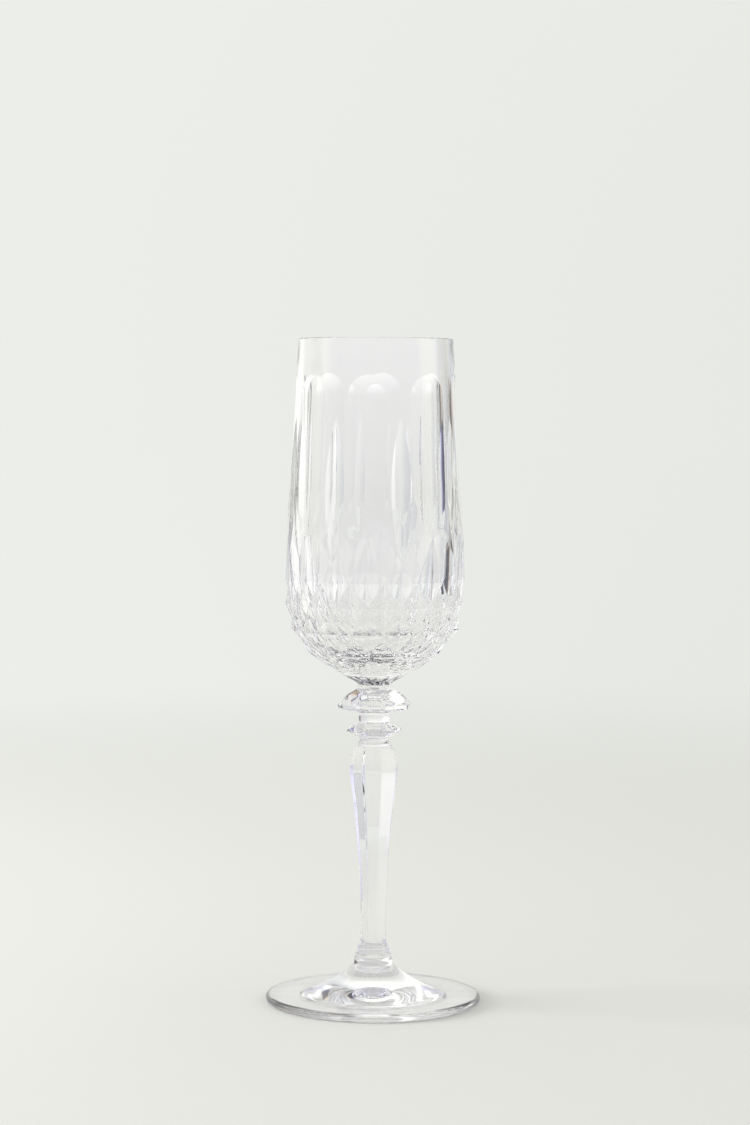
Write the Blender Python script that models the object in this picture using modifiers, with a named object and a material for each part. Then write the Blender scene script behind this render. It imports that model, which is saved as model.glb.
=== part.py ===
"""A cut-crystal champagne flute.

The flute stands on the plane z = 0 with its axis on Z. From the foot up, each piece
stands on the one below it with a small joint gap. Eight panels face the directions
0, 45, 90 ... degrees, and eight leaf-shaped mitre cuts lie half way between them.
"""

import math

import bmesh
import bpy
from mathutils import Matrix, Vector

# Heights of the pieces, from the foot up, in metres.
FOOT_HEIGHT = 0.0122
FOOT_MERESE_HEIGHT = 0.0078
BALUSTER_HEIGHT = 0.0640
NECK_MERESE_HEIGHT = 0.0013
LOWER_KNOP_HEIGHT = 0.0065
WAIST_MERESE_HEIGHT = 0.0024
UPPER_KNOP_HEIGHT = 0.0090
BOWL_HEIGHT = 0.1126
JOINT_GAP = 0.0003

# Radii of the joints between the pieces.
FOOT_JOINT_RADIUS = 0.0063
STEM_JOINT_RADIUS = 0.0043
NECK_JOINT_RADIUS = 0.0050
WAIST_JOINT_RADIUS = 0.0049
BOWL_JOINT_RADIUS = 0.0054

# The foot.
FOOT_RADIUS = 0.0350
FOOT_BRIM_INNER_RADIUS = 0.0240
FOOT_BRIM_THICKNESS = 0.0026
FOOT_NECK_PULL = 0.0030
FOOT_BRIM_PULL = 0.0060
FOOT_BRIM_LIFT = 0.0008
KICK_RADIUS = 0.0200
KICK_HEIGHT = 0.0026

# The stem and its knops. An eight-sided piece is measured to its corners, and a share
# is of the piece's height, or of its radius where the name says so.
COLLAR_TOP_FLARE = 0.0004
COLLAR_TOP_SHARE = 0.70
COLLAR_LOW_FLARE = -0.0002
COLLAR_LOW_SHARE = 0.45
BALUSTER_RADIUS = 0.0084
BALUSTER_WIDEST_BELOW_TOP = 0.0084
BALUSTER_WAIST_RADIUS = 0.0042
BALUSTER_WAIST_HEIGHT = 0.0070
SHOULDER_PULL_IN = 0.28
SHOULDER_PULL_DOWN = 0.16
WAIST_PULL_OUT = 0.03
WAIST_PULL_UP = 0.40
UPPER_KNOP_RADIUS = 0.0125
UPPER_KNOP_BAND = 0.0014
UPPER_KNOP_BAND_SHARE = 0.38
UPPER_KNOP_BAND_TAPER = 0.0002
UPPER_KNOP_CROWN = 0.0004
LOWER_KNOP_RADIUS = 0.0092
LOWER_KNOP_BAND = 0.0006
LOWER_KNOP_BAND_SHARE = 0.56
LOWER_KNOP_SHOULDER_RADIUS_SHARE = 0.80
LOWER_KNOP_SHOULDER_SHARE = 0.80
LOWER_KNOP_NECK_SHARE = 0.14
MERESE_BULGE = 0.0003

# The bowl. WALL_BOW is how far its wall bows out from a straight line.
WALL_BOW = 0.25
RIM_RADIUS = 0.0249
RIM_WALL = 0.0014
BELLY_RADIUS = 0.0293
BELLY_HEIGHT = 0.0310
BELLY_WALL = 0.0045
NECK_RING_RADIUS = 0.0069
NECK_RING_HEIGHT = 0.0020
HOLLOW_FLOOR_HEIGHT = 0.0093

# The cuts on the bowl.
PANEL_COUNT = 8
PANEL_DEPTH = 0.00085
PANEL_TOP_BELOW_RIM = 0.0118
PANEL_BOTTOM_HEIGHT = 0.0490
PANEL_TAPER_HEIGHT = 0.0140
PANEL_ARCH_RADIUS = 0.0290
LEAF_DEPTH = 0.0014
LEAF_WIDTH = 0.0070
LEAF_BOTTOM_HEIGHT = 0.0410
LEAF_LENGTH = 0.0462

# The net of cut diamonds: rows of corners from the neck up. An inset is how far
# a row's outer corners stand inside the belly.
DIAMOND_DEPTH = 0.0015
FLUTE_DEPTH = 0.0005
FLUTE_ROW_HEIGHT = 0.0059
FLUTE_ROW_INSET = 0.0146
KITE_ROW_HEIGHT = 0.0112
KITE_ROW_INSET = 0.0076
SHOULDER_ROW_HEIGHT = 0.0184
SHOULDER_ROW_INSET = 0.0021
GIRDLE_ROW_HEIGHT = 0.0270
GIRDLE_ROW_INSET = 0.0001
TIP_ROW_HEIGHT = 0.0349
SPEAR_RISE = 0.0070
SPEAR_FLARE = 0.0006
NECK_SCALLOP = 0.0004

# Fineness: steps round the axis, then steps along the curves of the outlines.
BOWL_STEPS = 64
FOOT_STEPS = 80
MERESE_STEPS = 40
OCTAGON_STEPS = 8
WHEEL_STEPS = 192
FOOT_MIDDLE_STEPS = 8
FOOT_EDGE_STEPS = 4
KICK_STEPS = 6
COLLAR_STEPS = 6
SHOULDER_STEPS = 5
TAPER_STEPS = 9
HOLLOW_FLOOR_STEPS = 9
WALL_STEPS = 6
RIM_STEPS = 4
ARCH_STEPS = 5

HALF_GAP = JOINT_GAP / 2
HALF_PITCH = math.pi / PANEL_COUNT
MERGE_DISTANCE = 0.00001
CUTTER_MARGIN = 0.004
SHELL_FLOOR_MARGIN = 0.001
PANEL_CUTTER_SHARE = 0.95

CRYSTAL_COLOUR = (0.93, 0.95, 0.94, 1.0)
CRYSTAL_ROUGHNESS = 0.03


def clear_scene():
    for item in list(bpy.data.objects):
        bpy.data.objects.remove(item, do_unlink=True)


def new_collection(name):
    collection = bpy.data.collections.new(name)
    bpy.context.scene.collection.children.link(collection)
    return collection


def crystal_material(name):
    material = bpy.data.materials.new(name)
    material.use_nodes = True
    shader = material.node_tree.nodes["Principled BSDF"]
    shader.inputs["Base Color"].default_value = CRYSTAL_COLOUR
    shader.inputs["Roughness"].default_value = CRYSTAL_ROUGHNESS
    shader.inputs["Metallic"].default_value = 0.0
    return material


def ease(start, end, count):
    """Points along a quarter-round corner: start and end are (radius, height)."""
    points = []
    for step in range(count + 1):
        turn = math.pi / 2 * step / count
        radius = start[0] + (end[0] - start[0]) * math.sin(turn)
        height = end[1] + (start[1] - end[1]) * math.cos(turn)
        points.append((radius, height))
    return points


def bezier(start, start_pull, end_pull, end, count):
    """Points along a cubic curve whose four controls are (radius, height) pairs."""
    points = []
    for step in range(count + 1):
        t = step / count
        s = 1 - t
        weights = (s ** 3, 3 * s * s * t, 3 * s * t * t, t ** 3)
        controls = (start, start_pull, end_pull, end)
        radius = sum(weight * control[0] for weight, control in zip(weights, controls))
        height = sum(weight * control[1] for weight, control in zip(weights, controls))
        points.append((radius, height))
    return points


def profile_object(name, profile, steps):
    """An object that turns a (radius, height) profile about its own Z axis."""
    mesh = bpy.data.meshes.new(name)
    vertices = [(radius, 0.0, height) for radius, height in profile]
    edges = [(index, index + 1) for index in range(len(profile) - 1)]
    mesh.from_pydata(vertices, edges, [])
    item = bpy.data.objects.new(name, mesh)
    screw = item.modifiers.new("turn", "SCREW")
    screw.axis = "Z"
    screw.steps = steps
    screw.render_steps = steps
    screw.use_merge_vertices = True
    screw.merge_threshold = MERGE_DISTANCE
    screw.use_smooth_shade = steps > OCTAGON_STEPS
    return item


def turned_piece(name, profile, steps, base):
    """A turned piece of the flute, standing at the height base."""
    item = profile_object(name, profile, steps)
    item.location.z = base
    if steps == OCTAGON_STEPS:
        item.rotation_euler.z = HALF_PITCH
    item.data.materials.append(crystal_material(name + "_crystal"))
    pieces.objects.link(item)
    item.parent = stand
    return item


def solid_profile(side):
    """Closes a side outline with flat ends on the axis; side runs from top to bottom."""
    return [(0.0, side[0][1])] + side + [(0.0, side[-1][1])]


def as_cutter(item):
    item.hide_render = True
    item.display_type = "WIRE"
    cutters.objects.link(item)
    return item


def cut(piece, cutter, operation="DIFFERENCE"):
    modifier = piece.modifiers.new(cutter.name, "BOOLEAN")
    modifier.operation = operation
    modifier.object = cutter
    modifier.solver = "EXACT"


# ---- the foot ----

def foot(base):
    """Flat brim, a bell-shaped middle that rises to the joint, and a domed hollow below."""
    top = FOOT_HEIGHT - HALF_GAP
    middle = bezier(
        (FOOT_JOINT_RADIUS, top),
        (FOOT_JOINT_RADIUS + FOOT_NECK_PULL, top - FOOT_NECK_PULL),
        (FOOT_BRIM_INNER_RADIUS - FOOT_BRIM_PULL, FOOT_BRIM_THICKNESS + FOOT_BRIM_LIFT),
        (FOOT_BRIM_INNER_RADIUS, FOOT_BRIM_THICKNESS),
        FOOT_MIDDLE_STEPS,
    )
    half_brim = FOOT_BRIM_THICKNESS / 2
    edge = []
    for step in range(FOOT_EDGE_STEPS + 1):
        turn = math.pi * (1 / 2 - step / FOOT_EDGE_STEPS)
        radius = FOOT_RADIUS - half_brim + half_brim * math.cos(turn)
        edge.append((radius, half_brim + half_brim * math.sin(turn)))
    hollow = []
    for step in range(1, KICK_STEPS):
        share = step / KICK_STEPS
        hollow.append((KICK_RADIUS * (1 - share), KICK_HEIGHT * (1 - (1 - share) ** 2)))
    underside = [(KICK_RADIUS, 0.0)] + hollow + [(0.0, KICK_HEIGHT)]
    profile = [(0.0, top)] + middle + edge + underside
    return turned_piece("foot", profile, FOOT_STEPS, base)


def merese(name, radius, height, base):
    """A small round wafer between two pieces, a little wider at its middle."""
    side = [
        (radius, height - HALF_GAP),
        (radius + MERESE_BULGE, height / 2),
        (radius, HALF_GAP),
    ]
    return turned_piece(name, solid_profile(side), MERESE_STEPS, base)


def foot_merese(base):
    """The collar under the stem, which flares to meet the foot."""
    side = bezier(
        (STEM_JOINT_RADIUS, FOOT_MERESE_HEIGHT - HALF_GAP),
        (STEM_JOINT_RADIUS + COLLAR_TOP_FLARE, FOOT_MERESE_HEIGHT * COLLAR_TOP_SHARE),
        (FOOT_JOINT_RADIUS + COLLAR_LOW_FLARE, FOOT_MERESE_HEIGHT * COLLAR_LOW_SHARE),
        (FOOT_JOINT_RADIUS, HALF_GAP),
        COLLAR_STEPS,
    )
    return turned_piece("foot_merese", solid_profile(side), MERESE_STEPS, base)


# ---- the stem and its knops ----

def baluster_stem(base):
    """Eight-sided, widest at a rounded shoulder, drawn in above the foot."""
    shoulder = BALUSTER_HEIGHT - BALUSTER_WIDEST_BELOW_TOP
    top = BALUSTER_HEIGHT - HALF_GAP
    side = ease((NECK_JOINT_RADIUS, top), (BALUSTER_RADIUS, shoulder), SHOULDER_STEPS)
    fall = shoulder - BALUSTER_WAIST_HEIGHT
    swell = BALUSTER_RADIUS - BALUSTER_WAIST_RADIUS
    side += bezier(
        (BALUSTER_RADIUS, shoulder),
        (BALUSTER_RADIUS - swell * SHOULDER_PULL_IN, shoulder - fall * SHOULDER_PULL_DOWN),
        (BALUSTER_WAIST_RADIUS + swell * WAIST_PULL_OUT, BALUSTER_WAIST_HEIGHT + fall * WAIST_PULL_UP),
        (BALUSTER_WAIST_RADIUS, BALUSTER_WAIST_HEIGHT),
        TAPER_STEPS,
    )[1:]
    side.append((STEM_JOINT_RADIUS, HALF_GAP))
    return turned_piece("baluster_stem", solid_profile(side), OCTAGON_STEPS, base)


def lower_knop(base):
    """Eight-sided, with a thin edge at its widest."""
    band_middle = LOWER_KNOP_HEIGHT * LOWER_KNOP_BAND_SHARE
    shoulder = (
        LOWER_KNOP_RADIUS * LOWER_KNOP_SHOULDER_RADIUS_SHARE,
        LOWER_KNOP_HEIGHT * LOWER_KNOP_SHOULDER_SHARE,
    )
    side = [
        (WAIST_JOINT_RADIUS, LOWER_KNOP_HEIGHT - HALF_GAP),
        shoulder,
        (LOWER_KNOP_RADIUS, band_middle + LOWER_KNOP_BAND / 2),
        (LOWER_KNOP_RADIUS, band_middle - LOWER_KNOP_BAND / 2),
        (NECK_JOINT_RADIUS, LOWER_KNOP_HEIGHT * LOWER_KNOP_NECK_SHARE),
        (NECK_JOINT_RADIUS, HALF_GAP),
    ]
    return turned_piece("lower_knop", solid_profile(side), OCTAGON_STEPS, base)


def upper_knop(base):
    """Eight-sided and wide, with a narrow upright band round its edge."""
    band_top = UPPER_KNOP_HEIGHT * UPPER_KNOP_BAND_SHARE
    band_bottom = band_top - UPPER_KNOP_BAND
    shoulder = (
        (BOWL_JOINT_RADIUS + UPPER_KNOP_RADIUS) / 2,
        (UPPER_KNOP_HEIGHT + band_top) / 2 + UPPER_KNOP_CROWN,
    )
    side = [
        (BOWL_JOINT_RADIUS, UPPER_KNOP_HEIGHT - HALF_GAP),
        shoulder,
        (UPPER_KNOP_RADIUS, band_top),
        (UPPER_KNOP_RADIUS - UPPER_KNOP_BAND_TAPER, band_bottom),
        (WAIST_JOINT_RADIUS, HALF_GAP),
    ]
    return turned_piece("upper_knop", solid_profile(side), OCTAGON_STEPS, base)


# ---- the bowl; its heights are measured up from its joint with the knop ----

def wall_radius(height):
    """Radius of the bowl's outer wall between the belly and the rim."""
    fall = (BOWL_HEIGHT - height) / (BOWL_HEIGHT - BELLY_HEIGHT)
    share = (1 + WALL_BOW) * fall - WALL_BOW * fall ** 3
    return RIM_RADIUS + (BELLY_RADIUS - RIM_RADIUS) * share


def inner_wall_radius(height):
    """Radius of the hollow above the belly: the wall thickens from the rim down."""
    fall = (BOWL_HEIGHT - height) / (BOWL_HEIGHT - BELLY_HEIGHT)
    wall = RIM_WALL + (BELLY_WALL - RIM_WALL) * fall
    return wall_radius(height) - wall


def bowl_blank():
    """The turned bowl before it is cut."""
    lip = RIM_WALL / 2
    lip_height = BOWL_HEIGHT - lip
    hollow = [(0.0, HOLLOW_FLOOR_HEIGHT)]
    belly_inside = BELLY_RADIUS - BELLY_WALL
    for step in range(1, HOLLOW_FLOOR_STEPS):
        turn = math.pi / 2 * step / HOLLOW_FLOOR_STEPS
        drop = (BELLY_HEIGHT - HOLLOW_FLOOR_HEIGHT) * math.cos(turn)
        hollow.append((belly_inside * math.sin(turn), BELLY_HEIGHT - drop))
    wall_rise = (lip_height - BELLY_HEIGHT) / WALL_STEPS
    wall_heights = [BELLY_HEIGHT + wall_rise * step for step in range(WALL_STEPS + 1)]
    inside = [(inner_wall_radius(height), height) for height in wall_heights]
    rim_middle = RIM_RADIUS - lip
    rim = []
    for step in range(1, RIM_STEPS):
        turn = math.pi * (1 - step / RIM_STEPS)
        rim.append((rim_middle + lip * math.cos(turn), lip_height + lip * math.sin(turn)))
    outside = [(wall_radius(height), height) for height in reversed(wall_heights)]
    below = [
        (BELLY_RADIUS, SHOULDER_ROW_HEIGHT),
        (BELLY_RADIUS - KITE_ROW_INSET + NECK_SCALLOP * 2, KITE_ROW_HEIGHT - NECK_SCALLOP),
        (NECK_RING_RADIUS + NECK_SCALLOP * 2, NECK_RING_HEIGHT + NECK_SCALLOP / 2),
        (NECK_RING_RADIUS, NECK_RING_HEIGHT),
        (BOWL_JOINT_RADIUS, NECK_RING_HEIGHT / 3),
        (BOWL_JOINT_RADIUS, HALF_GAP),
        (0.0, HALF_GAP),
    ]
    return hollow + inside + rim + outside + below


def facet_rows():
    """Rows of the faceted shell, from below the bowl to above its rim.

    Each row gives (height, radius) on a panel's line, on a leaf's line, and between
    them. Low and high places alternate, so the rows make a net of pyramids.
    """
    flute = BELLY_RADIUS - FLUTE_ROW_INSET
    kite = BELLY_RADIUS - KITE_ROW_INSET
    shoulder = BELLY_RADIUS - SHOULDER_ROW_INSET
    girdle = BELLY_RADIUS - GIRDLE_ROW_INSET
    tip = wall_radius(TIP_ROW_HEIGHT)
    clear = BELLY_RADIUS + CUTTER_MARGIN
    below_ring = NECK_RING_RADIUS + SHELL_FLOOR_MARGIN
    spear_wall = wall_radius(PANEL_BOTTOM_HEIGHT)

    def row(height, on_lines, between):
        return ((height, on_lines), (height, on_lines), (height, between))

    return [
        row(HALF_GAP - SHELL_FLOOR_MARGIN, below_ring, below_ring),
        row(NECK_RING_HEIGHT, NECK_RING_RADIUS - NECK_SCALLOP, NECK_RING_RADIUS + NECK_SCALLOP),
        row(FLUTE_ROW_HEIGHT, flute - FLUTE_DEPTH, flute),
        row(KITE_ROW_HEIGHT, kite - DIAMOND_DEPTH, kite),
        row(SHOULDER_ROW_HEIGHT, shoulder, shoulder - DIAMOND_DEPTH),
        row(GIRDLE_ROW_HEIGHT, girdle - DIAMOND_DEPTH, girdle),
        row(TIP_ROW_HEIGHT, tip, tip - DIAMOND_DEPTH),
        (
            (PANEL_BOTTOM_HEIGHT, spear_wall),
            (LEAF_BOTTOM_HEIGHT, wall_radius(LEAF_BOTTOM_HEIGHT)),
            (PANEL_BOTTOM_HEIGHT + SPEAR_RISE, spear_wall + SPEAR_FLARE),
        ),
        row(PANEL_BOTTOM_HEIGHT + SPEAR_RISE * 2, clear, clear),
        row(BOWL_HEIGHT + CUTTER_MARGIN, clear, clear),
    ]


def angle_of(vertex):
    return math.atan2(vertex.co.y, vertex.co.x) % math.tau


def facet_shell():
    """A closed shell of flat facets that trims the outside of the bowl."""
    sides = PANEL_COUNT * 4
    rings = []
    shell = bmesh.new()
    for row in facet_rows():
        circle = bmesh.ops.create_circle(shell, cap_ends=False, segments=sides, radius=1.0)
        ring = sorted(circle["verts"], key=angle_of)
        for index, vertex in enumerate(ring):
            angle = math.tau * index / sides
            place = 2 if index % 2 else (index % 4) // 2
            height, radius = row[place]
            vertex.co = Vector((radius * math.cos(angle), radius * math.sin(angle), height))
        rings.append(ring)
    for level, (below, above) in enumerate(zip(rings, rings[1:])):
        for index in range(sides):
            after = (index + 1) % sides
            if (index + level) % 2 == 0:
                triangles = ((below[index], below[after], above[index]),
                             (below[after], above[after], above[index]))
            else:
                triangles = ((below[index], below[after], above[after]),
                             (below[index], above[after], above[index]))
            for triangle in triangles:
                shell.faces.new(triangle)
    shell.faces.new(list(reversed(rings[0])))
    shell.faces.new(rings[-1])
    mesh = bpy.data.meshes.new("facet_shell")
    shell.to_mesh(mesh)
    shell.free()
    return bpy.data.objects.new("facet_shell", mesh)


def place_in_radial_plane(item, radius, height, angle):
    """Turns local X outwards and local Y down, and moves the origin to radius and height."""
    item.location = (radius * math.cos(angle), radius * math.sin(angle), height)
    item.rotation_euler = (-math.pi / 2, 0.0, angle)


def leaf_wheel(name, base, angle):
    """A mitre wheel that leaves a leaf-shaped groove with a sharp keel."""
    bottom = Vector((wall_radius(LEAF_BOTTOM_HEIGHT), LEAF_BOTTOM_HEIGHT))
    top_height = LEAF_BOTTOM_HEIGHT + LEAF_LENGTH
    top = Vector((wall_radius(top_height), top_height))
    chord = top - bottom
    wheel_radius = chord.length ** 2 / (8 * LEAF_DEPTH) + LEAF_DEPTH / 2
    outwards = Vector((chord.y, -chord.x)).normalized()
    centre = (top + bottom) / 2 + outwards * (wheel_radius - LEAF_DEPTH)
    reach = LEAF_DEPTH + CUTTER_MARGIN
    half_width = reach * LEAF_WIDTH / 2 / LEAF_DEPTH
    profile = [
        (0.0, half_width),
        (wheel_radius - reach, half_width),
        (wheel_radius, 0.0),
        (wheel_radius - reach, -half_width),
        (0.0, -half_width),
    ]
    wheel = profile_object(name, profile, WHEEL_STEPS)
    place_in_radial_plane(wheel, centre.x, base + centre.y, angle)
    return wheel


def panel_outline():
    """Side outline of a panel cutter, as (radius, height) points, from its top down."""
    arch_height = math.sqrt(2 * PANEL_ARCH_RADIUS * PANEL_DEPTH)
    face_top = BOWL_HEIGHT - PANEL_TOP_BELOW_RIM - arch_height
    face_bottom = PANEL_BOTTOM_HEIGHT + PANEL_TAPER_HEIGHT
    points = []
    for step in range(ARCH_STEPS + 1, -1, -1):
        share = step / ARCH_STEPS
        height = face_top + arch_height * share
        points.append((wall_radius(height) - PANEL_DEPTH * (1 - share ** 2), height))
    points.append((wall_radius(face_bottom) - PANEL_DEPTH, face_bottom))
    points.append((wall_radius(PANEL_BOTTOM_HEIGHT), PANEL_BOTTOM_HEIGHT))
    outer = BELLY_RADIUS + CUTTER_MARGIN
    points.append((outer, PANEL_BOTTOM_HEIGHT))
    points.append((outer, points[0][1]))
    return points


def panel_block(name, outline, base, angle):
    """A block whose inner face leaves a flat panel with an arched top."""
    half_width = BELLY_RADIUS * math.tan(HALF_PITCH) * PANEL_CUTTER_SHARE
    curve = bpy.data.curves.new(name, "CURVE")
    curve.dimensions = "2D"
    curve.fill_mode = "BOTH"
    curve.extrude = half_width
    spline = curve.splines.new("POLY")
    spline.points.add(len(outline) - 1)
    for point, (radius, height) in zip(spline.points, outline):
        point.co = (radius, -height, 0.0, 1.0)
    spline.use_cyclic_u = True
    flat = bpy.data.objects.new(name + "_outline", curve)
    bpy.context.scene.collection.objects.link(flat)
    evaluated = flat.evaluated_get(bpy.context.evaluated_depsgraph_get())
    mesh = bpy.data.meshes.new_from_object(evaluated)
    welded = bmesh.new()
    welded.from_mesh(mesh)
    bmesh.ops.remove_doubles(welded, verts=welded.verts, dist=MERGE_DISTANCE)
    bmesh.ops.recalc_face_normals(welded, faces=welded.faces)
    welded.to_mesh(mesh)
    welded.free()
    bpy.data.objects.remove(flat, do_unlink=True)
    block = bpy.data.objects.new(name, mesh)
    place_in_radial_plane(block, 0.0, base, angle)
    return block


def bowl(base):
    item = turned_piece("bowl", bowl_blank(), BOWL_STEPS, base)
    shell = as_cutter(facet_shell())
    shell.location.z = base
    cut(item, shell, "INTERSECT")
    outline = panel_outline()
    for index in range(PANEL_COUNT):
        angle = math.tau * index / PANEL_COUNT
        cut(item, as_cutter(panel_block(f"panel_cutter_{index}", outline, base, angle)))
        cut(item, as_cutter(leaf_wheel(f"leaf_cutter_{index}", base, angle + HALF_PITCH)))
    return item


clear_scene()
pieces = new_collection("champagne_flute")
cutters = new_collection("cutters")
stand = bpy.data.objects.new("stand", None)
pieces.objects.link(stand)

level = 0.0
foot(level)
level += FOOT_HEIGHT
foot_merese(level)
level += FOOT_MERESE_HEIGHT
baluster_stem(level)
level += BALUSTER_HEIGHT
merese("neck_merese", NECK_JOINT_RADIUS, NECK_MERESE_HEIGHT, level)
level += NECK_MERESE_HEIGHT
lower_knop(level)
level += LOWER_KNOP_HEIGHT
merese("waist_merese", WAIST_JOINT_RADIUS, WAIST_MERESE_HEIGHT, level)
level += WAIST_MERESE_HEIGHT
upper_knop(level)
level += UPPER_KNOP_HEIGHT
bowl(level)
bpy.context.view_layer.update()
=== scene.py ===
import math

import bmesh
import bpy
from mathutils import Euler, Matrix, Vector


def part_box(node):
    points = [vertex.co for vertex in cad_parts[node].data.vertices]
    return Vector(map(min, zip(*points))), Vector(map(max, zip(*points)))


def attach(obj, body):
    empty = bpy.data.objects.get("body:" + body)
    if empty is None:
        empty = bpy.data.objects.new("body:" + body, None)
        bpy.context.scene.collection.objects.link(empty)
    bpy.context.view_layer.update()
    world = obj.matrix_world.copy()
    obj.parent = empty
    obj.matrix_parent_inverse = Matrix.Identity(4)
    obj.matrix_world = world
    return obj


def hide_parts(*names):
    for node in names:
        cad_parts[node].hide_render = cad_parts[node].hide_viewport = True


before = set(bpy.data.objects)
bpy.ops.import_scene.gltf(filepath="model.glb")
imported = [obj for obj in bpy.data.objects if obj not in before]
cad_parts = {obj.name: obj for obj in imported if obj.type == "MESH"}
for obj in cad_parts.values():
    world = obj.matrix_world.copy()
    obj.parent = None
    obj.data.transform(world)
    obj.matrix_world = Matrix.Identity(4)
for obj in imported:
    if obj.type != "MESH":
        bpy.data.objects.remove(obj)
scene = bpy.context.scene
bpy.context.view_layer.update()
print("frame loaded:", len(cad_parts), "nodes")

# each piece stands on the one below; these are the heights where they join
joints = {}
for lower, upper in (
    ("foot", "foot_merese"),
    ("foot_merese", "baluster_stem"),
    ("baluster_stem", "neck_merese"),
    ("neck_merese", "lower_knop"),
    ("lower_knop", "waist_merese"),
    ("waist_merese", "upper_knop"),
    ("upper_knop", "bowl"),
):
    joints[upper] = (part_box(lower)[1].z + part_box(upper)[0].z) / 2
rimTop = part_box("bowl")[1].z

turnSteps = 96        # round the stem, the knops and the studio's cards
footSteps = 128
mergeDistance = 1e-6
seamDistance = 4e-6   # between the copies of the bowl's wedge
jointDistance = 2e-5  # how near its joint's height a fused face lies
finestStep = 0.0006   # longest stretch of an outline that is refined
levelNormal = 0.99    # a face whose normal points this far up or down is level
fusedRadius = {       # radius of the glass where two pieces are fused
    "foot_merese": 0.0063,
    "baluster_stem": 0.0043,
    "neck_merese": 0.0050,
    "lower_knop": 0.0050,
    "waist_merese": 0.0049,
    "upper_knop": 0.0049,
    "bowl": 0.0054,
}


glass = {
    "ior": 1.53,
    "tint": (0.993, 0.993, 0.992),
    "tintDeep": (0.978, 0.980, 0.984),
    "waveDetail": 1.0,
    "fineDetail": 2.0,
    "roughFrom": 0.35,        # the part of the fine noise over which the polish gets duller
    "roughTo": 0.70,
}
blownFinish = {"waves": 90.0, "waveDepth": 0.00010, "grain": 700.0, "grainDepth": 0.000001, "rough": 0.006}
cutFinish = {"waves": 140.0, "waveDepth": 0.00003, "grain": 900.0, "grainDepth": 0.000002, "rough": 0.008}
stemFinish = {"waves": 160.0, "waveDepth": 0.00005, "grain": 900.0, "grainDepth": 0.000001, "rough": 0.006}
footFinish = {"waves": 60.0, "waveDepth": 0.00012, "grain": 600.0, "grainDepth": 0.000002, "rough": 0.008}


def newMaterial(name):
    material = bpy.data.materials.new(name)
    material.use_nodes = True
    tree = material.node_tree
    return material, tree, tree.nodes["Principled BSDF"]


def glassMaterial(name, finish):
    material, tree, shader = newMaterial(name)
    place = tree.nodes.new("ShaderNodeTexCoord")
    shader.inputs["Transmission Weight"].default_value = 1.0
    shader.inputs["IOR"].default_value = glass["ior"]

    waves = tree.nodes.new("ShaderNodeTexNoise")      # slow sway left by the fire
    waves.inputs["Scale"].default_value = finish["waves"]
    waves.inputs["Detail"].default_value = glass["waveDetail"]
    tree.links.new(place.outputs["Object"], waves.inputs["Vector"])
    fine = tree.nodes.new("ShaderNodeTexNoise")       # fine grain of the polish
    fine.inputs["Scale"].default_value = finish["grain"]
    fine.inputs["Detail"].default_value = glass["fineDetail"]
    tree.links.new(place.outputs["Object"], fine.inputs["Vector"])

    tint = tree.nodes.new("ShaderNodeMix")
    tint.data_type = "RGBA"
    tint.inputs["A"].default_value = (*glass["tint"], 1.0)
    tint.inputs["B"].default_value = (*glass["tintDeep"], 1.0)
    tree.links.new(waves.outputs["Fac"], tint.inputs["Factor"])
    tree.links.new(tint.outputs["Result"], shader.inputs["Base Color"])

    rough = tree.nodes.new("ShaderNodeMapRange")
    rough.inputs["From Min"].default_value = glass["roughFrom"]
    rough.inputs["From Max"].default_value = glass["roughTo"]
    rough.inputs["To Min"].default_value = 0.0
    rough.inputs["To Max"].default_value = finish["rough"]
    tree.links.new(fine.outputs["Fac"], rough.inputs["Value"])
    tree.links.new(rough.outputs["Result"], shader.inputs["Roughness"])

    sway = tree.nodes.new("ShaderNodeBump")
    sway.inputs["Strength"].default_value = 1.0
    sway.inputs["Distance"].default_value = finish["waveDepth"]
    tree.links.new(waves.outputs["Fac"], sway.inputs["Height"])
    grain = tree.nodes.new("ShaderNodeBump")
    grain.inputs["Strength"].default_value = 1.0
    grain.inputs["Distance"].default_value = finish["grainDepth"]
    tree.links.new(fine.outputs["Fac"], grain.inputs["Height"])
    tree.links.new(sway.outputs["Normal"], grain.inputs["Normal"])
    tree.links.new(grain.outputs["Normal"], shader.inputs["Normal"])
    return material


# the touching faces of two pieces: nothing shows there, because the glass runs through
def fusedMaterial():
    material, tree, shader = newMaterial("fused joint")
    shader.inputs["Alpha"].default_value = 0.0
    shader.inputs["Roughness"].default_value = 1.0
    return material


blownGlass = glassMaterial("blown glass", blownFinish)
cutGlass = glassMaterial("cut and polished glass", cutFinish)
stemGlass = glassMaterial("pressed stem glass", stemFinish)
footGlass = glassMaterial("foot glass", footFinish)
fusedJoint = fusedMaterial()
print("finishes ready")


def bezier(start, startPull, endPull, end, count):
    points = []
    for step in range(count + 1):
        t = step / count
        s = 1 - t
        weights = (s ** 3, 3 * s * s * t, 3 * s * t * t, t ** 3)
        pulls = (start, startPull, endPull, end)
        points.append(tuple(sum(w * p[axis] for w, p in zip(weights, pulls)) for axis in (0, 1)))
    return points


def roundOff(points, corner, size, count=4):
    before, here, after = (Vector(points[corner + step]) for step in (-1, 0, 1))
    start = here + (before - here).normalized() * size
    end = here + (after - here).normalized() * size
    arc = []
    for step in range(count + 1):
        t = step / count
        arc.append(tuple(start * (1 - t) ** 2 + here * 2 * t * (1 - t) + end * t ** 2))
    return points[:corner] + arc + points[corner + 1:]


def refine(side, longest):
    # short stretches keep the shading of a flat face flat
    fine = [side[0]]
    for start, end in zip(side, side[1:]):
        count = max(1, math.ceil(math.dist(start, end) / longest))
        for step in range(1, count + 1):
            t = step / count
            fine.append((start[0] + (end[0] - start[0]) * t, start[1] + (end[1] - start[1]) * t))
    return fine


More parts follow.
